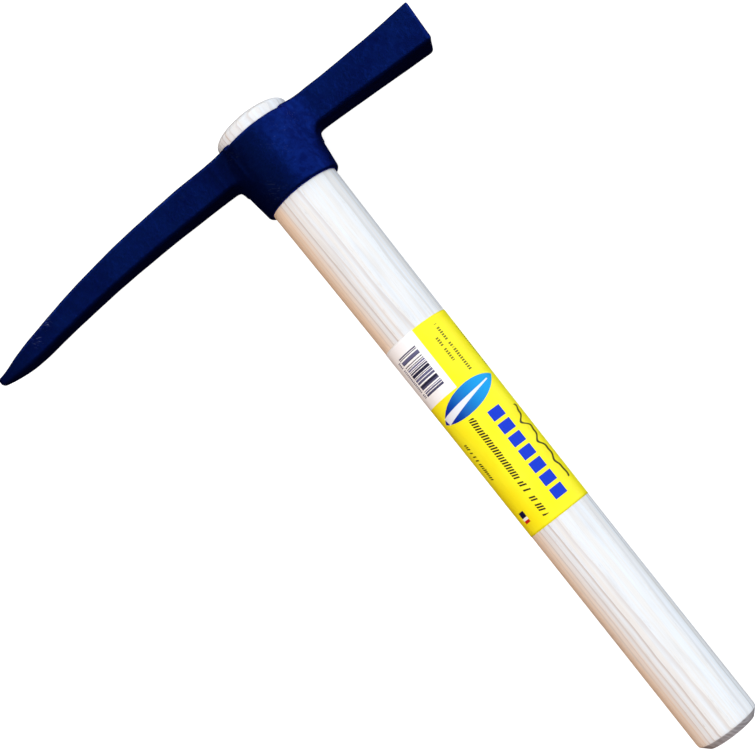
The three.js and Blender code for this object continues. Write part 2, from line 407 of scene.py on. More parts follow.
def head_mesh(step):
    """The head's points, its quads, and how sharply the skin curves outwards at each point."""
    low = np.array([-PICK_REACH, COLLAR_BOTTOM, -BARREL_RADIUS]) - MESH_MARGIN
    high = np.array([POLL_REACH, POLL_END_TOP, BARREL_RADIUS]) + MESH_MARGIN
    axes = [np.arange(a, b, step) for a, b in zip(low, high)]
    samples = head_field(*np.meshgrid(*axes, indexing="ij"))
    points, quads = surface_nets(samples, low, step)
    points = pulled_to(head_field, points, 3)
    for _ in range(2):
        points = pulled_to(head_field, neighbour_mean(points, quads), 2)
    normals = gradient(head_field, points)
    normals /= np.linalg.norm(normals, axis=1)[:, None]
    inset = neighbour_mean(points, quads) - points
    convexity = -(inset * normals).sum(1) / step**2
    return points, quads, convexity


def make_head(material):
    """The forging, with an attribute that says where its edges are worn."""
    points, quads, convexity = head_mesh(MESH_STEP)
    for _ in range(2):
        convexity = neighbour_mean(np.repeat(convexity[:, None], 3, 1), quads)[:, 0]
    piece = make_piece("head", points, quads.tolist(), material, "head")
    edge = piece.data.attributes.new("edge", "FLOAT", "POINT")
    worn = smoothstep(convexity, *WORN_CURVATURE)
    edge.data.foreach_set("value", worn.astype(np.float32))


# ---------------------------------------------------------------- handle and label shapes


def out_of_round(angle, height):
    """Tiny unevenness left by turning and sanding."""
    oval = TURNED_OVAL * np.sin(2 * angle + height / TURNED_OVAL_TWIST)
    return oval + TURNED_LOBES * np.sin(3 * angle - height / TURNED_LOBES_TWIST + 1)


def skin_faces(rings, around, closed=True):
    """Quads between successive rings of points."""
    faces = []
    steps = around if closed else around - 1
    for ring in range(rings - 1):
        for i in range(steps):
            a, b = ring * around + i, ring * around + (i + 1) % around
            faces.append((a, a + around, b + around, b))
    return faces


def handle_rings(angles):
    """Rings of (radius, height) round the handle, from the middle of the butt to the crown."""
    chamfer = BUTT_CHAMFER - BUTT_CHAMFER_TILT * BUTT_RADIUS * np.cos(angles)
    flat = BUTT_RADIUS - chamfer
    rings = [(flat * share, 0 * angles) for share in BUTT_FLAT_RINGS]
    for inwards, upwards in CHAMFER_RINGS:
        rings.append((BUTT_RADIUS - inwards * chamfer, upwards * chamfer))
    dome_foot = OVERALL_LENGTH - DOME_HEIGHT
    for height in np.linspace(GRIP_START, dome_foot, GRIP_RINGS):
        rings.append((handle_radius(height) + out_of_round(angles, height), height + 0 * angles))
    for turn in np.linspace(0, math.pi / 2, DOME_RINGS)[1:-1]:
        out = math.cos(turn) ** (2 / DOME_FULLNESS)
        up = math.sin(turn) ** (2 / DOME_FULLNESS)
        oval = DOME_OVAL * np.sin(2 * angles + 0.7) * out
        lobes = DOME_LOBES * np.sin(5 * angles + 3 * turn) * out
        radius = DOME_RADIUS * out + (oval - lobes) * up
        rings.append((radius, dome_foot + DOME_HEIGHT * up + 0 * angles))
    return rings


def make_handle(material, around=168):
    """The turned handle, closed at the butt and at the crown by a fan of triangles."""
    angles = np.arange(around) * 2 * math.pi / around
    rings = handle_rings(angles)
    points = [
        np.stack([radius * np.cos(angles), height, radius * np.sin(angles)], 1)
        for radius, height in rings
    ]
    points = np.concatenate(points)
    faces = skin_faces(len(rings), around)
    last = (len(rings) - 1) * around
    points = np.vstack([points, [0, 0, 0], [0, OVERALL_LENGTH - CROWN_DIP, 0]])
    butt, crown = len(points) - 2, len(points) - 1
    for i in range(around):
        j = (i + 1) % around
        faces.append((butt, i, j))
        faces.append((crown, last + j, last + i))
    make_piece("handle", points, faces, material, "handle")


def label_skins(turns, heights):
    """The film's inner and outer points, and their places on the print, both row by row."""
    climb = smoothstep(turns, math.pi - 3 * LABEL_LAP, math.pi - LABEL_LAP)
    lift = LABEL_LIFT + (LABEL_THICKNESS + LABEL_LIFT) * climb
    angles = math.pi / 2 - turns
    points, prints = [], []
    for skin in (lift, lift + LABEL_THICKNESS):
        for height in heights:
            level = height + 0 * turns
            radius = handle_radius(height) + out_of_round(angles, height) + skin
            points.append(np.stack([radius * np.sin(turns), level, radius * np.cos(turns)], 1))
            prints.append(np.stack([turns * handle_radius(height), level - LABEL_BOTTOM], 1))
    return np.concatenate(points), np.concatenate(prints)


def label_rims(around, along):
    """Quads that join the film's inner skin to its outer one along all four edges."""
    shift, last = along * around, (along - 1) * around
    rims = []
    for i in range(around - 1):
        rims.append((i, i + 1, i + 1 + shift, i + shift))
        rims.append((last + i + 1, last + i, last + i + shift, last + i + 1 + shift))
    for row in range(along - 1):
        a, b = row * around, (row + 1) * around
        rims.append((b, a, a + shift, b + shift))
        a, b = a + around - 1, b + around - 1
        rims.append((a, b, b + shift, a + shift))
    return rims


def make_label(material, around=260, along=90):
    """One film round the grip, with its end lapped over its start at the back."""
    turns = np.linspace(-math.pi - LABEL_LAP, math.pi + LABEL_LAP, around)
    points, prints = label_skins(turns, np.linspace(LABEL_BOTTOM, LABEL_TOP, along))
    inner = skin_faces(along, around, closed=False)
    outer = [tuple(i + along * around for i in face[::-1]) for face in inner]
    faces = inner + outer + label_rims(around, along)
    piece = make_piece("label", points, faces, material, "label")
    layer = piece.data.uv_layers.new(name=PRINT_LAYER)
    corners = np.zeros(len(piece.data.loops), int)
    piece.data.loops.foreach_get("vertex_index", corners)
    layer.data.foreach_set("uv", prints[corners].astype(np.float32).ravel())


# ---------------------------------------------------------------- material kit


def srgb(red, green, blue):
    """A colour given in 0 to 255, as a linear colour with alpha."""
    channels = [value / 255 for value in (red, green, blue)]
    linear = [
        value / 12.92 if value <= 0.04045 else ((value + 0.055) / 1.055) ** 2.4
        for value in channels
    ]
    return (*linear, 1)


class Nodes:
    """A tree of shader nodes, written as expressions."""

    def __init__(self, tree):
        self.tree = tree

    def put(self, socket, value):
        if isinstance(value, bpy.types.NodeSocket):
            self.tree.links.new(value, socket)
        else:
            socket.default_value = value

    def node(self, kind, settings, inputs, output=0):
        made = self.tree.nodes.new(kind)
        for name, value in settings.items():
            setattr(made, name, value)
        for name, value in inputs.items():
            self.put(made.inputs[name], value)
        return made.outputs[output]

    def math(self, operation, *values):
        return self.node("ShaderNodeMath", {"operation": operation}, dict(enumerate(values)))

    def chain(self, operation, values):
        result = values[0]
        for value in values[1:]:
            result = self.math(operation, result, value)
        return result

    def add(self, *values):
        return self.chain("ADD", values)

    def sub(self, a, b):
        return self.math("SUBTRACT", a, b)

    def mul(self, *values):
        return self.chain("MULTIPLY", values)

    def most(self, *values):
        return self.chain("MAXIMUM", values)

    def magnitude(self, value):
        return self.math("ABSOLUTE", value)

    def vector(self, operation, a, b, output="Vector"):
        return self.node("ShaderNodeVectorMath", {"operation": operation}, {0: a, 1: b}, output)

    def dot(self, a, b):
        return self.vector("DOT_PRODUCT", a, b, "Value")

    def distance(self, a, b):
        return self.vector("DISTANCE", a, b, "Value")

    def parts(self, vector):
        made = self.tree.nodes.new("ShaderNodeSeparateXYZ")
        self.put(made.inputs[0], vector)
        return tuple(made.outputs)

    def turned(self, point, axis, angle):
        settings = {"rotation_type": axis + "_AXIS"}
        return self.node("ShaderNodeVectorRotate", settings, {"Vector": point, "Angle": angle})

    def ramp(self, value, low, high, to_low=0.0, to_high=1.0, kind="SMOOTHSTEP"):
        """Goes from to_low to to_high as the value goes from low to high, and stops there."""
        return self.node(
            "ShaderNodeMapRange",
            {"interpolation_type": kind, "clamp": True},
            {
                "Value": value,
                "From Min": low,
                "From Max": high,
                "To Min": to_low,
                "To Max": to_high,
            },
        )

    def mix(self, share, a, b):
        made = self.tree.nodes.new("ShaderNodeMix")
        made.data_type = "RGBA"
        sockets = {socket.identifier: socket for socket in made.inputs}
        self.put(sockets["Factor_Float"], share)
        self.put(sockets["A_Color"], a)
        self.put(sockets["B_Color"], b)
        return next(s for s in made.outputs if s.identifier == "Result_Color")

    def noise(self, point, scale, detail=2, roughness=0.5):
        """Noise with this many features to a millimetre, or this many along x, y and z."""
        if isinstance(scale, tuple):
            point, scale = self.vector("MULTIPLY", point, scale), 1
        inputs = {"Vector": point, "Scale": scale, "Detail": detail, "Roughness": roughness}
        return self.node("ShaderNodeTexNoise", {}, inputs)

    def chance(self, value):
        """A random number from 0 to 1 for each value."""
        return self.node("ShaderNodeTexWhiteNoise", {"noise_dimensions": "1D"}, {"W": value})


class Shader(Nodes):
    """One material's nodes."""

    def __init__(self, name):
        self.material = bpy.data.materials.new(name)
        self.material.use_nodes = True
        super().__init__(self.material.node_tree)
        self.surface = self.tree.nodes["Principled BSDF"]

    def set(self, **inputs):
        for name, value in inputs.items():
            self.put(self.surface.inputs[name.replace("_", " ")], value)

    def place(self):
        """The point in tool-frame millimetres."""
        point = self.node("ShaderNodeTexCoord", {}, {}, "Object")
        from_butt = self.vector("SUBTRACT", point, tuple(tool_origin()))
        return self.vector("MULTIPLY", from_butt, (1 / MM,) * 3)

    def normal(self):
        return self.node("ShaderNodeNewGeometry", {}, {}, "Normal")

    def relief(self, *layers):
        """Bumps laid on each other, each with its height in millimetres where it is 1."""
        inputs = {"Strength": 1.0}
        for layer, height in layers:
            if height < 0:
                layer = self.mul(layer, -1)
            inputs.update(Height=layer, Distance=abs(height) * MM)
            inputs["Normal"] = self.node("ShaderNodeBump", {}, inputs)
        return inputs["Normal"]


# ---------------------------------------------------------------- enamelled steel

DEEP_BLUE = (0.0014, 0.0060, 0.084, 1)
CLEAR_BLUE = (0.0026, 0.0150, 0.142, 1)
RUBBED_BLUE = srgb(52, 80, 165)
SCUFFED_BLUE = srgb(140, 158, 215)
GLANCING_BLUE = (0.08, 0.22, 1.0, 1)
CLOUD_SHARE = 0.55
MOTTLE_SHARE = 0.45
RUB_STRENGTH = 0.55
SCUFF_STRENGTH = 0.6
HAIR_STRENGTH = 0.5
ENAMEL_METALLIC = 0.88
ENAMEL_ROUGHNESS = (0.48, 0.30)  # where the paint is thick, and where it is thin
SCUFF_ROUGHNESS = 0.15
BRUSH_TURN = math.radians(35)

# Noise, in features to a millimetre
CLOUD_SCALE = 0.06
MOTTLE_SCALE = 0.38
WORN_SCALE = 0.5
PIT_SCALE = 0.33
PEEL_SCALE = 0.85
BRUSH_SCALE = (0.25, 1.6, 1.6)
HAIR_SCALE = (0.12, 3.2, 3.2)
HAIR_PATCH_SCALE = 0.05
GRIT_SCALE = (0.5, 1.5, 0.8)

# Relief in millimetres
PIT_HEIGHT = 0.10
PEEL_HEIGHT = 0.028
BRUSH_HEIGHT = 0.012
SCUFF_HEIGHT = -0.02

# Scuffed patches: middle in the tool frame, radius and strength
SCUFFED_PATCHES = (
    ((-129.5, 332, 7), 4.6, 0.85),
    ((-136.8, 326.5, 7), 4, 0.28),
    ((-11, 310, 17), 9, 0.12),
    ((-15, 337, 15), 7, 0.1),
)


def scuffed_patch(shader, point, centre, radius, strength):
    """Strongest in the middle of a round patch, fading to 0 at its edge."""
    inside = shader.ramp(shader.distance(point, centre), radius, radius * 0.4)
    return shader.mul(inside, strength)


def enamel_scuffs(shader, point):
    """Pale rubs: fine scratches all over, and patches near the pick's point and the collar."""
    turned = shader.turned(point, "Z", BRUSH_TURN)
    hairs = shader.ramp(shader.noise(turned, HAIR_SCALE, 3), 0.66, 0.74)
    where = shader.ramp(shader.noise(point, HAIR_PATCH_SCALE), 0.52, 0.72)
    grit = shader.ramp(shader.noise(turned, GRIT_SCALE, 4, 0.6), 0.53, 0.66)
    patches = [scuffed_patch(shader, point, *patch) for patch in SCUFFED_PATCHES]
    fine = shader.mul(hairs, where, HAIR_STRENGTH)
    return shader.most(fine, shader.mul(grit, shader.most(*patches)))


def enamel_colour(shader, point, mottle, scuffs):
    """Deep blue where the paint is thick, clearer where it is thin, paler where it is worn."""
    cloud = shader.ramp(shader.noise(point, CLOUD_SCALE, 4, 0.6), 0.3, 0.7)
    thin = shader.add(shader.mul(cloud, CLOUD_SHARE), shader.mul(mottle, MOTTLE_SHARE))
    colour = shader.mix(thin, DEEP_BLUE, CLEAR_BLUE)
    edge = shader.node("ShaderNodeAttribute", {"attribute_name": "edge"}, {}, "Fac")
    rub = shader.mul(edge, shader.ramp(shader.noise(point, WORN_SCALE, 5, 0.7), 0.5, 0.72))
    colour = shader.mix(shader.mul(rub, RUB_STRENGTH), colour, RUBBED_BLUE)
    return shader.mix(shader.mul(scuffs, SCUFF_STRENGTH), colour, SCUFFED_BLUE)


def enamel():
    """Dark blue satin enamel, brushed over a forging, with its edges rubbed."""
    shader = Shader("dark_blue_enamel")
    point = shader.place()
    mottle = shader.ramp(shader.noise(point, MOTTLE_SCALE, 4, 0.6), 0.34, 0.68)
    scuffs = enamel_scuffs(shader, point)
    pits = shader.ramp(shader.noise(point, PIT_SCALE, 5, 0.62), 0.38, 0.75)
    relief = shader.relief(
        (pits, PIT_HEIGHT),
        (shader.noise(point, PEEL_SCALE), PEEL_HEIGHT),
        (shader.noise(point, BRUSH_SCALE, 3), BRUSH_HEIGHT),
        (scuffs, SCUFF_HEIGHT),
    )
    rough = shader.ramp(mottle, 0, 1, *ENAMEL_ROUGHNESS)
    rough = shader.add(rough, shader.mul(scuffs, SCUFF_ROUGHNESS))
    colour = enamel_colour(shader, point, mottle, scuffs)
    shader.set(Base_Color=colour, Roughness=rough, Normal=relief, Metallic=ENAMEL_METALLIC)
    shader.set(Specular_IOR_Level=0.8, Specular_Tint=GLANCING_BLUE)
    return shader.material


# ---------------------------------------------------------------- ash wood

RING_FACE_TURN = math.radians(20)  # the tangential face looks this far towards the poll
PITH_DISTANCE = 72.9
RING_SPACING = 2.25
RING_WANDER = 5.5
RING_RIPPLE = 0.9
GRAIN_SLOPE = 0.004
FIGURED = (130, 240)  # the rings begin to wander at the first height, and fully at the second
LEAST_FIGURE = 0.2
FAINTEST_RING = 0.35

PALE_ASH = (0.81, 0.845, 0.885, 1)
WARM_ASH = (0.81, 0.80, 0.785, 1)
BROWN_LATE_WOOD = (0.52, 0.43, 0.385, 1)
# Grey late wood on the poll's side is painted cool light
PAINTED_COOL_LIGHT_LATE_WOOD = (0.54, 0.53, 0.52, 1)
PORE_BROWN = (0.33, 0.25, 0.19, 1)
# Tan painted on the pick's side of the grip, standing in for the warm light that falls there
PAINTED_WARM_LIGHT_TAN = (0.96, 0.70, 0.46, 1)
STREAK_GREY = (0.60, 0.60, 0.615, 1)
FIBRE_BROWN = (0.50, 0.44, 0.38, 1)
END_GRAIN = (0.62, 0.54, 0.46, 1)
# The sawn butt's grey is partly end grain and partly painted shade, for end faces turned away from
# the light
SAWN_GREY_AND_PAINTED_SHADE = (0.42, 0.375, 0.385, 1)
SAW_MARK = (0.24, 0.205, 0.205, 1)

# How strongly each colour covers what is below it
LATE_STRENGTH = 0.85
PORE_STRENGTH = 0.62
PAINTED_WARM_LIGHT_STRENGTH = 0.75
GREY_STRENGTH = 0.35
FIBRE_STRENGTH = 0.2
END_GRAIN_STRENGTH = 0.1
SAWN_AND_PAINTED_SHADE_STRENGTH = 0.8
SAW_MARK_STRENGTH = 0.6

PAINTED_COOL_LIGHT_SPAN = (2, 9)  # x between which late wood turns from brown to grey, cool light painted on the poll's side
PAINTED_WARM_LIGHT_SPAN = (-9.5, -16)  # x between which the painted warm light's tan comes in
PAINTED_WARM_LIGHT_RAGGEDNESS = 1.5
PAINTED_WARM_LIGHT_TOP = (344, 338)  # the dome gets no painted warm light
SAWN_HEIGHT = (8, 5)  # only the butt's end is sawn
EARLY_PORES = 0.85
STRAY_PORES = 0.12
ASH_ROUGHNESS = (0.46, 0.58)
PORE_ROUGHNESS = 0.2

# Noise, in features to a millimetre along x, y and z
WANDER_SCALE = (0.022, 0.0065, 0.022)
RIPPLE_SCALE = (0.12, 0.03, 0.12)
FIBRE_SCALE = (4.2, 0.05, 4.2)
STREAK_SCALE = (0.55, 0.012, 0.55)
PORE_SCALE = (4.6, 0.3, 4.6)
GREY_SCALE = (0.2, 0.02, 0.2)
SAW_SCALE = (1.5, 0.15, 0.12)
SAW_TURN = math.radians(40)

# Relief in millimetres
PORE_HEIGHT = -0.05
FIBRE_HEIGHT = 0.02
LATE_WOOD_HEIGHT = 0.015
SAW_HEIGHT = 0.25


def ring_phase(shader, point):
    """Counts the growth rings outwards from a pith that lies behind the handle."""
    wander = shader.sub(shader.noise(point, WANDER_SCALE), 0.5)
    ripple = shader.sub(shader.noise(point, RIPPLE_SCALE), 0.5)
    face = (math.sin(RING_FACE_TURN), 0, math.cos(RING_FACE_TURN))
    side = (math.cos(RING_FACE_TURN), 0, -math.sin(RING_FACE_TURN))
    outwards = shader.add(shader.dot(point, face), PITH_DISTANCE)
    sideways = shader.dot(point, side)
    squares = shader.add(shader.mul(outwards, outwards), shader.mul(sideways, sideways))
    _, y, _ = shader.parts(point)
    figured = shader.ramp(y, *FIGURED, LEAST_FIGURE, 1)
    shifts = shader.add(shader.mul(wander, figured, RING_WANDER), shader.mul(ripple, RING_RIPPLE))
    sloped = shader.add(shader.math("SQRT", squares), shader.mul(y, GRAIN_SLOPE))
    return shader.mul(shader.add(sloped, shifts), 1 / RING_SPACING)


def growth_rings(shader, point):
    """Where the wood is dense late wood, and where it is porous early wood."""
    phase = ring_phase(shader, point)
    within = shader.math("FRACT", phase)
    ring = shader.math("FLOOR", phase)
    strength = shader.ramp(shader.chance(ring), 0, 1, FAINTEST_RING, 1, "LINEAR")
    late = shader.mul(shader.ramp(within, 0.62, 0.96), shader.ramp(within, 1.0, 0.97), strength)
    return late, shader.mul(shader.ramp(within, 0.34, 0.05), strength)


def ash_colour(shader, point, late, pores):
    """Pale wood with darker rings, pores and streaks; painted light: tan on the pick's side, grey
    late wood on the poll's.
    """
    x, y, _ = shader.parts(point)
    streak = shader.noise(point, STREAK_SCALE, 3)
    colour = shader.mix(shader.ramp(streak, 0.38, 0.64), PALE_ASH, WARM_ASH)
    # Painted cool light: late wood turns grey towards the poll's side
    late_colour = shader.mix(shader.ramp(x, *PAINTED_COOL_LIGHT_SPAN), BROWN_LATE_WOOD, PAINTED_COOL_LIGHT_LATE_WOOD)
    colour = shader.mix(shader.mul(late, LATE_STRENGTH), colour, late_colour)
    colour = shader.mix(shader.mul(pores, PORE_STRENGTH), colour, PORE_BROWN)
    # Painted warm light: a ragged tan band along the pick's side, not on the dome
    sideways = shader.add(x, shader.ramp(streak, 0.3, 0.7, -PAINTED_WARM_LIGHT_RAGGEDNESS, PAINTED_WARM_LIGHT_RAGGEDNESS))
    painted_warm_light = shader.mul(shader.ramp(sideways, *PAINTED_WARM_LIGHT_SPAN), shader.ramp(y, *PAINTED_WARM_LIGHT_TOP), PAINTED_WARM_LIGHT_STRENGTH)
    colour = shader.mix(painted_warm_light, colour, PAINTED_WARM_LIGHT_TAN)
    grey = shader.ramp(shader.noise(point, GREY_SCALE), 0.5, 0.75)
    return shader.mix(shader.mul(grey, GREY_STRENGTH), colour, STREAK_GREY)


def end_colour(shader, colour, end, cut, sawn):
    """The end grain of the dome and the butt, the saw's marks across the butt, and shade painted
    grey on the sawn butt.
    """
    colour = shader.mix(shader.mul(end, END_GRAIN_STRENGTH), colour, END_GRAIN)
    # Grey on the sawn butt and its chamfer: end grain with painted shade
    colour = shader.mix(shader.mul(cut, SAWN_AND_PAINTED_SHADE_STRENGTH), colour, SAWN_GREY_AND_PAINTED_SHADE)
    marks = shader.mul(cut, shader.ramp(sawn, 0.42, 0.58), SAW_MARK_STRENGTH)
    return shader.mix(marks, colour, SAW_MARK)


def ash():
    """Pale sanded ash: growth rings in depth, open pores beside them, straight fibres."""
    shader = Shader("sanded_ash")
    point = shader.place()
    late, porous = growth_rings(shader, point)
    fibre = shader.noise(point, FIBRE_SCALE, 3, 0.6)
    pores = shader.ramp(shader.noise(point, PORE_SCALE, 2, 0.6), 0.60, 0.70)
    pores = shader.mul(pores, shader.add(shader.mul(porous, EARLY_PORES), STRAY_PORES))
    colour = ash_colour(shader, point, late, pores)
    fibrous = shader.ramp(fibre, 0.45, 0.75, 0, FIBRE_STRENGTH)
    colour = shader.mix(fibrous, colour, FIBRE_BROWN)

    _, y, _ = shader.parts(point)
    end = shader.ramp(shader.magnitude(shader.dot(shader.normal(), (0, 1, 0))), 0.35, 0.8)
    cut = shader.mul(end, shader.ramp(y, *SAWN_HEIGHT))
    sawn = shader.noise(shader.turned(point, "Y", SAW_TURN), SAW_SCALE)
    relief = shader.relief(
        (pores, PORE_HEIGHT),
        (fibre, FIBRE_HEIGHT),
        (late, LATE_WOOD_HEIGHT),
        (shader.mul(cut, sawn), SAW_HEIGHT),
    )
    rough = shader.ramp(fibre, 0.3, 0.7, *ASH_ROUGHNESS)
    rough = shader.add(rough, shader.mul(pores, PORE_ROUGHNESS))
    colour = end_colour(shader, colour, end, cut, sawn)
    shader.set(Base_Color=colour, Roughness=rough, Normal=relief, Specular_IOR_Level=0.35)
    return shader.material


# ---------------------------------------------------------------- printed label

YELLOW = (1.0, 0.93, 0.02, 1)
DEEP_YELLOW = (1.0, 0.87, 0.01, 1)
INK = srgb(22, 24, 18)
PANEL_WHITE = srgb(250, 250, 252)
BAR_DARK = srgb(28, 28, 52)
BAR_LIGHT = srgb(112, 112, 150)
PANEL_STROKE = srgb(96, 92, 116)
EMBLEM_DARK = (0.0, 0.008, 0.34, 1)
EMBLEM_LIGHT = (0.0, 0.36, 0.82, 1)
EMBLEM_STRIPE = srgb(232, 238, 248)
BLOCK_BLUE = (0.0, 0.035, 0.60, 1)
GRIME = (0.35, 0.30, 0.15, 1)

# Places on the print in millimetres: from and to along u, then along v
PANEL = ((-34, -0.9), (71.7, 110))
BARS = ((-15.6, -4.1), (76.4, 97.8))
BAR_PITCH = 0.36
BAR_TONE_PITCH = 1.45
PANEL_STROKES = ((-18.2, -16.4), (77, 97.5), 0.8, 11)
EMBLEM_CENTRE = (0.0, 65.0)
EMBLEM_LEAN = math.radians(81)
EMBLEM_HALF_LENGTH = 19
EMBLEM_HALF_WIDTH = 6.0
STRIPE_SPAN = (-0.86, 0.72)  # as shares of the emblem's half length
STRIPE_HALF_WIDTH = (1.9, 0.35)  # near its two ends
BLOCKS = ((2.6, 9.4), (5.4, 55.6))
BLOCK_PITCH = 7.2
BLOCK_WIDTH = (0.12, 0.86)  # where a block begins and ends, as shares of the pitch
WAVE_MIDDLE = 16.3
WAVE_SPAN = (11, 51)
WAVE_SWING = (0.7, 2.4)
WAVE_PACE = 0.55  # radians to a millimetre
FLUTTER_PACE = 1.15
FLUTTER = 0.4
WAVE_STRENGTH = 0.95
PATCH_ACROSS = (-17.2, -13.4)
PATCHES = (
    ((8.6, 11.6), srgb(16, 14, 60)),
    ((7.2, 8.6), srgb(250, 250, 250)),
    ((5.8, 7.2), srgb(206, 32, 24)),
)

# Lines of strokes: strength, u, v, pitch, seed and slope
STROKE_LINES = (
    (1, (-6.4, -3.1), (3.8, 57.0), 1.35, 2, 0.35),
    (1, (-17.6, -15.2), (30, 50), 1.05, 9, 0.3),
    (0.85, (8.6, 10.4), (74.5, 100), 1.2, 23, 0),
    (0.85, (5.0, 6.6), (82, 95), 1.2, 31, 0),
    (0.9, (21.5, 23.2), (72, 96), 1.1, 41, 0),
)
STROKE_WIDTH = (0.12, 0.72)  # where a stroke begins and ends, as shares of the pitch
SHORTEST_STROKE = 0.8
GAP_CHANCE = 0.12
GAP_SEED = 50  # added to a line's own seed

EDGE = 0.08  # half the width over which an ink's edge fades
BOX_EDGE = 0.07

FILM_ROUGHNESS = (0.33, 0.43)
GRIME_STRENGTH = 0.03

# Noise in features to a millimetre, and relief in millimetres
TINT_SCALE = 0.05
GRIME_SCALE = 0.8
SMEAR_SCALE = 0.35
WOOD_UNDER_HEIGHT = 0.12
WOOD_UNDER_SCALE = (0.3, 0.06, 0.3)
FILM_HEIGHT = 0.006
FILM_SCALE = 1.1


class Print:
    """The label's print. u runs round the grip from its front, v up from the label's edge."""

    def __init__(self, shader):
        self.shader = shader
        uv = shader.node("ShaderNodeUVMap", {"uv_map": PRINT_LAYER}, {}, "UV")
        self.u, self.v, _ = shader.parts(uv)

    def within(self, value, low, high, soft=BOX_EDGE):
        off = self.shader.magnitude(self.shader.sub(value, (low + high) / 2))
        half = (high - low) / 2
        return self.shader.ramp(off, half + soft, half - soft, kind="LINEAR")

    def box(self, u, v):
        return self.shader.mul(self.within(self.u, *u), self.within(self.v, *v))

    def cell(self, pitch):
        """Counts equal cells up the label."""
        return self.shader.math("FLOOR", self.shader.mul(self.v, 1 / pitch))

    def strokes(self, u, v, pitch, seed, slope=0):
        """A line of meaningless strokes of uneven height, with a gap here and there."""
        shader = self.shader
        lean = shader.mul(shader.sub(self.u, u[0]), slope)
        along = shader.mul(shader.add(self.v, lean), 1 / pitch)
        cell = shader.math("FLOOR", along)
        tall = shader.chance(shader.add(cell, seed))
        gap = shader.chance(shader.add(cell, seed + GAP_SEED))
        stroke = self.within(shader.math("FRACT", along), *STROKE_WIDTH, 0.1)
        top = shader.ramp(tall, 0, 1, lerp(*u, SHORTEST_STROKE), u[1], "LINEAR")
        low_enough = shader.ramp(shader.sub(self.u, top), EDGE, -EDGE, kind="LINEAR")
        shown = shader.mul(stroke, low_enough, shader.ramp(gap, GAP_CHANCE, GAP_CHANCE + 0.01))
        return shader.mul(shown, self.box(u, v))


def bar_panel(art, colour):
    """A white panel with plain uneven bars across it."""
    shader = art.shader
    colour = shader.mix(art.box(*PANEL), colour, PANEL_WHITE)
    bars = shader.ramp(shader.chance(art.cell(BAR_PITCH)), 0.4, 0.42)
    tone = shader.mix(shader.chance(art.cell(BAR_TONE_PITCH)), BAR_DARK, BAR_LIGHT)
    colour = shader.mix(shader.mul(bars, art.box(*BARS)), colour, tone)
    return shader.mix(art.strokes(*PANEL_STROKES), colour, PANEL_STROKE)


def emblem(art, colour):
    """A plain slanted blue leaf, paler at its top, with a tapered white stripe along it."""
    shader = art.shader
    off_u = shader.sub(art.u, EMBLEM_CENTRE[0])
    off_v = shader.sub(art.v, EMBLEM_CENTRE[1])
    sine, cosine = math.sin(EMBLEM_LEAN), math.cos(EMBLEM_LEAN)
    along = shader.add(shader.mul(off_u, sine), shader.mul(off_v, cosine))
    across = shader.sub(shader.mul(off_u, cosine), shader.mul(off_v, sine))
    off_middle = shader.magnitude(across)
    share = shader.mul(along, 1 / EMBLEM_HALF_LENGTH)
    half_width = shader.mul(shader.sub(1, shader.mul(share, share)), EMBLEM_HALF_WIDTH)
    inside = shader.ramp(shader.sub(half_width, off_middle), -EDGE, EDGE)
    blue = shader.mix(shader.ramp(share, -0.8, 0.7), EMBLEM_DARK, EMBLEM_LIGHT)
    colour = shader.mix(inside, colour, blue)
    stripe = shader.sub(shader.ramp(share, -0.85, 0.75, *STRIPE_HALF_WIDTH), off_middle)
    stripe = shader.mul(shader.ramp(stripe, -EDGE, EDGE), art.within(share, *STRIPE_SPAN, 0.01))
    return shader.mix(stripe, colour, EMBLEM_STRIPE)


def blue_blocks(art, colour):
    """A row of plain blue blocks."""
    shader = art.shader
    along = shader.mul(shader.sub(art.v, BLOCKS[1][0]), 1 / BLOCK_PITCH)
    block = art.within(shader.math("FRACT", along), *BLOCK_WIDTH, 0.012)
    return shader.mix(shader.mul(block, art.box(*BLOCKS)), colour, BLOCK_BLUE)


def loose_wave(art, colour):
    """A thin wave that swings wider up the label."""
    shader = art.shader
    slow = shader.math("SINE", shader.mul(art.v, WAVE_PACE))
    quick = shader.math("SINE", shader.mul(art.v, FLUTTER_PACE))
    wave = shader.add(slow, shader.mul(quick, FLUTTER))
    swing = shader.ramp(art.v, *WAVE_SPAN, *WAVE_SWING)
    middle = shader.add(shader.mul(wave, swing), WAVE_MIDDLE)
    line = shader.ramp(shader.magnitude(shader.sub(art.u, middle)), 1.05, 0.55)
    line = shader.mul(line, art.within(art.v, *WAVE_SPAN))
    return shader.mix(shader.mul(line, WAVE_STRENGTH), colour, INK)


def stroke_lines(art, colour):
    shader = art.shader
    lines = [shader.mul(art.strokes(*line), strength) for strength, *line in STROKE_LINES]
    return shader.mix(shader.most(*lines), colour, INK)


def colour_patches(art, colour):
    """A small block in dark, white and red."""
    for along, ink in PATCHES:
        colour = art.shader.mix(art.box(PATCH_ACROSS, along), colour, ink)
    return colour


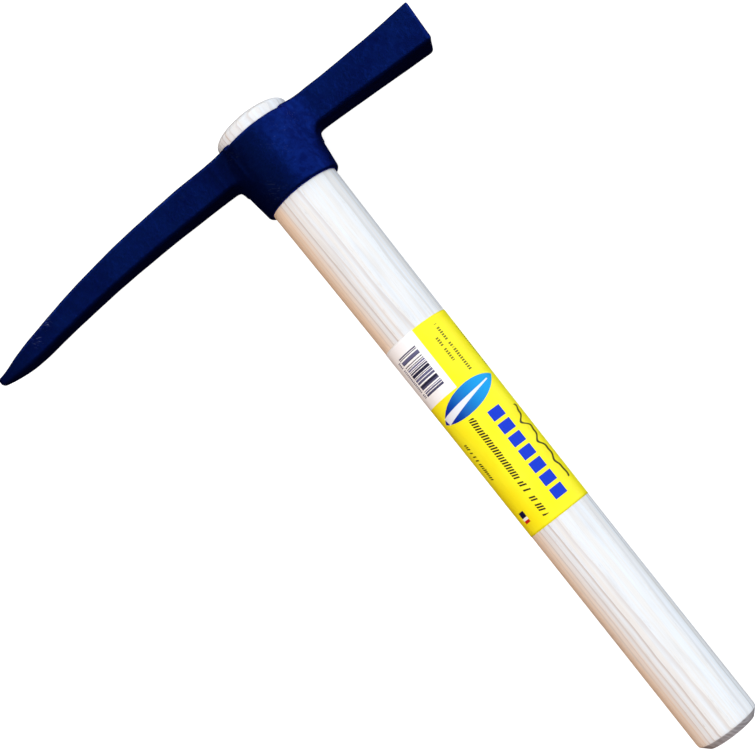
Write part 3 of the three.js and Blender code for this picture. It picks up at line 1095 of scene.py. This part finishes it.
def printed_film():
    """Glossy yellow film with generic print: bars, a leaf, blocks, a wave and strokes."""
    shader = Shader("printed_film")
    art = Print(shader)
    point = shader.place()
    tint = shader.ramp(shader.noise(point, TINT_SCALE), 0.3, 0.7)
    colour = shader.mix(tint, YELLOW, DEEP_YELLOW)
    for layer in (bar_panel, emblem, blue_blocks, loose_wave, stroke_lines, colour_patches):
        colour = layer(art, colour)
    grime = shader.ramp(shader.noise(point, GRIME_SCALE, 4, 0.7), 0.62, 0.78)
    colour = shader.mix(shader.mul(grime, GRIME_STRENGTH), colour, GRIME)
    relief = shader.relief(
        (shader.noise(point, WOOD_UNDER_SCALE), WOOD_UNDER_HEIGHT),
        (shader.noise(point, FILM_SCALE), FILM_HEIGHT),
    )
    rough = shader.ramp(shader.noise(point, SMEAR_SCALE, 4), 0.3, 0.7, *FILM_ROUGHNESS)
    shader.set(Base_Color=colour, Roughness=rough, Normal=relief, Specular_IOR_Level=0.22)
    return shader.material


# ---------------------------------------------------------------- floor, light and camera

FLOOR_HALF_SIDE = 4.0
FLOOR_GREY = (0.42, 0.42, 0.42, 1)
FLOOR_PALE_GREY = (0.45, 0.45, 0.45, 1)
FLOOR_GLOW = 0.84
FLOOR_GRAIN_SCALE = 0.05

# Name, direction from the hammer, distance and side in metres, watts, colour, and whether
# gloss mirrors it
LIGHTS = (
    ("warm_side", (-1.0, -0.15, 0.0), 1.0, 0.7, 4.2, (1.0, 0.5, 0.22), False),
    ("fill", (-0.28, 0.0, 0.96), 1.0, 0.7, 7.0, (0.98, 1.0, 1.02), False),
    ("back", (-0.25, 1.0, 0.30), 1.3, 0.8, 2.6, (1.0, 0.98, 0.95), True),
)

WORLD_WARM = (0.18, 0.145, 0.12, 1)
WORLD_COOL = (0.95, 1.0, 1.06, 1)
WORLD_DARK = (0.02, 0.012, 0.01, 1)
WORLD_STRENGTH = 1.3

# In metres in the row frame, and in millimetres for the lens
CAMERA_PLACE = Vector((0.019745, -0.048878, 0.822001))
CAMERA_AIM = Vector((0.011456, 0.044006, 0.022))
CAMERA_ROLL = math.radians(-38.1906)
CAMERA_LENS = 85.27
SENSOR_WIDTH = 36


def make_floor():
    """A plain pale floor that glows, so that only a trace of shadow shows on it.

    It doesn't light the hammer, and gloss doesn't mirror it.
    """
    shader = Shader("pale_floor")
    grain = shader.noise(shader.place(), FLOOR_GRAIN_SCALE, 3)
    shader.set(Base_Color=shader.mix(grain, FLOOR_GREY, FLOOR_PALE_GREY))
    shader.set(Roughness=0.9, Specular_IOR_Level=0.1)
    shader.set(Emission_Color=(1, 1, 1, 1), Emission_Strength=FLOOR_GLOW)
    mesh = bpy.data.meshes.new("floor")
    corners = [(x, y, 0) for x, y in ((-1, -1), (1, -1), (1, 1), (-1, 1))]
    mesh.from_pydata([Vector(corner) * FLOOR_HALF_SIDE for corner in corners], [], [(0, 1, 2, 3)])
    mesh.materials.append(shader.material)
    floor = bpy.data.objects.new("floor", mesh)
    floor.location.z = cad_box[0].z
    floor.visible_glossy = False
    floor.visible_diffuse = False
    bpy.context.scene.collection.objects.link(floor)


def make_light(name, direction, distance, side, power, colour, mirrored):
    """A soft square light that faces the middle of the hammer."""
    light = bpy.data.lights.new(name, "AREA")
    light.size = side
    light.energy = power
    light.color = colour
    lamp = bpy.data.objects.new(name, light)
    centre = (cad_box[0] + cad_box[1]) / 2
    towards = Vector(direction).normalized()
    lamp.location = centre + towards * distance
    lamp.rotation_mode = "QUATERNION"
    lamp.rotation_quaternion = towards.to_track_quat("Z", "Y")
    lamp.visible_glossy = mirrored
    bpy.context.scene.collection.objects.link(lamp)


def make_world():
    """Surroundings with cool light on the right, dim on the left, dark below and past the butt."""
    world = bpy.data.worlds.new("studio")
    world.use_nodes = True
    nodes = Nodes(world.node_tree)
    background = nodes.tree.nodes["Background"]
    towards = nodes.node("ShaderNodeTexCoord", {}, {}, "Generated")
    x, y, z = nodes.parts(towards)
    right = nodes.ramp(x, -0.10, 0.36)
    above = nodes.ramp(nodes.add(z, nodes.mul(x, 0.4)), -0.10, 0.06)
    lit = nodes.mul(above, nodes.ramp(y, -0.75, -0.35))
    side = nodes.mix(right, WORLD_WARM, WORLD_COOL)
    nodes.put(background.inputs["Color"], nodes.mix(lit, WORLD_DARK, side))
    nodes.put(background.inputs["Strength"], WORLD_STRENGTH)
    bpy.context.scene.world = world


def make_camera():
    """Looks down on the hammer from a little towards its butt, turned to set it aslant."""
    back = (CAMERA_PLACE - CAMERA_AIM).normalized()
    level = Vector((0, 1, 0)).cross(back).normalized()
    upright = back.cross(level)
    right = math.cos(CAMERA_ROLL) * level + math.sin(CAMERA_ROLL) * upright
    turn = Matrix((right, back.cross(right), back)).transposed()
    data = bpy.data.cameras.new("camera")
    data.sensor_width = SENSOR_WIDTH
    data.lens = CAMERA_LENS
    data.clip_start = 0.05
    data.dof.use_dof = False
    camera = bpy.data.objects.new("camera", data)
    camera.matrix_world = Matrix.Translation(CAMERA_PLACE) @ turn.to_4x4()
    bpy.context.scene.collection.objects.link(camera)
    bpy.context.scene.camera = camera


make_head(enamel())
make_handle(ash())
make_label(printed_film())
make_floor()
for light in LIGHTS:
    make_light(*light)
make_world()
make_camera()
bpy.context.scene.view_settings.view_transform = "Standard"
